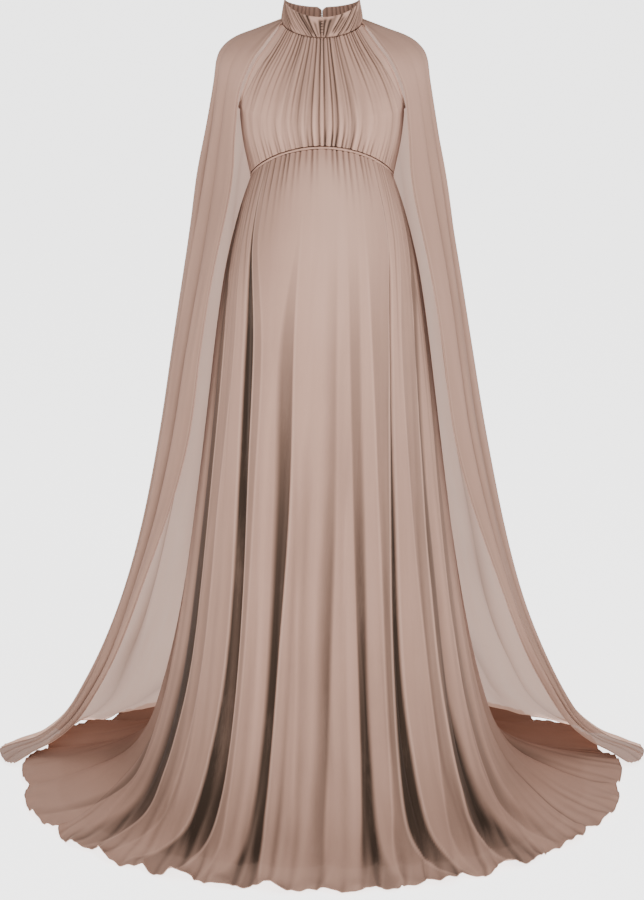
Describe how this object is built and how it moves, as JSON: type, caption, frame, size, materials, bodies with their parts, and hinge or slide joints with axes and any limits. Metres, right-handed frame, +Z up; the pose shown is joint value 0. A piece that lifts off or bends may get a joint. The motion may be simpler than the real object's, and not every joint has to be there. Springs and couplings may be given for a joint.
{
  "type": "cape dress",
  "caption": "Full-length dress with a gathered stand collar, a raised gathered waist, a rounded front, a floor train and an open-fronted sheer cape.",
  "frame": {"origin": "middle of the neck at the height of the collar's seam, where the wearer's neck and shoulders hold the dress", "axes": "+Z up along the wearer, -Y towards the front, +X towards the wearer's left"},
  "size_m": [1.2586, 1.097, 1.4558],
  "materials": {
    "dress_cloth": "matt dusty mauve chiffon over a lining of the same colour",
    "cape_cloth": "sheer dusty mauve chiffon, one layer",
    "trim": "rolled and corded edges of the same chiffon"
  },
  "bodies": {
    "root": {"collar": "dress_cloth", "collar_button": "trim", "collar_loop": "trim", "bodice_front": "dress_cloth", "bodice_back": "dress_cloth", "armhole_binding_left": "trim", "armhole_binding_right": "trim", "waist_cord": "trim", "skirt_front": "dress_cloth", "skirt_back": "dress_cloth", "cape_left": "cape_cloth", "cape_right": "cape_cloth", "cape_back": "cape_cloth"}
  },
  "joints": []
}
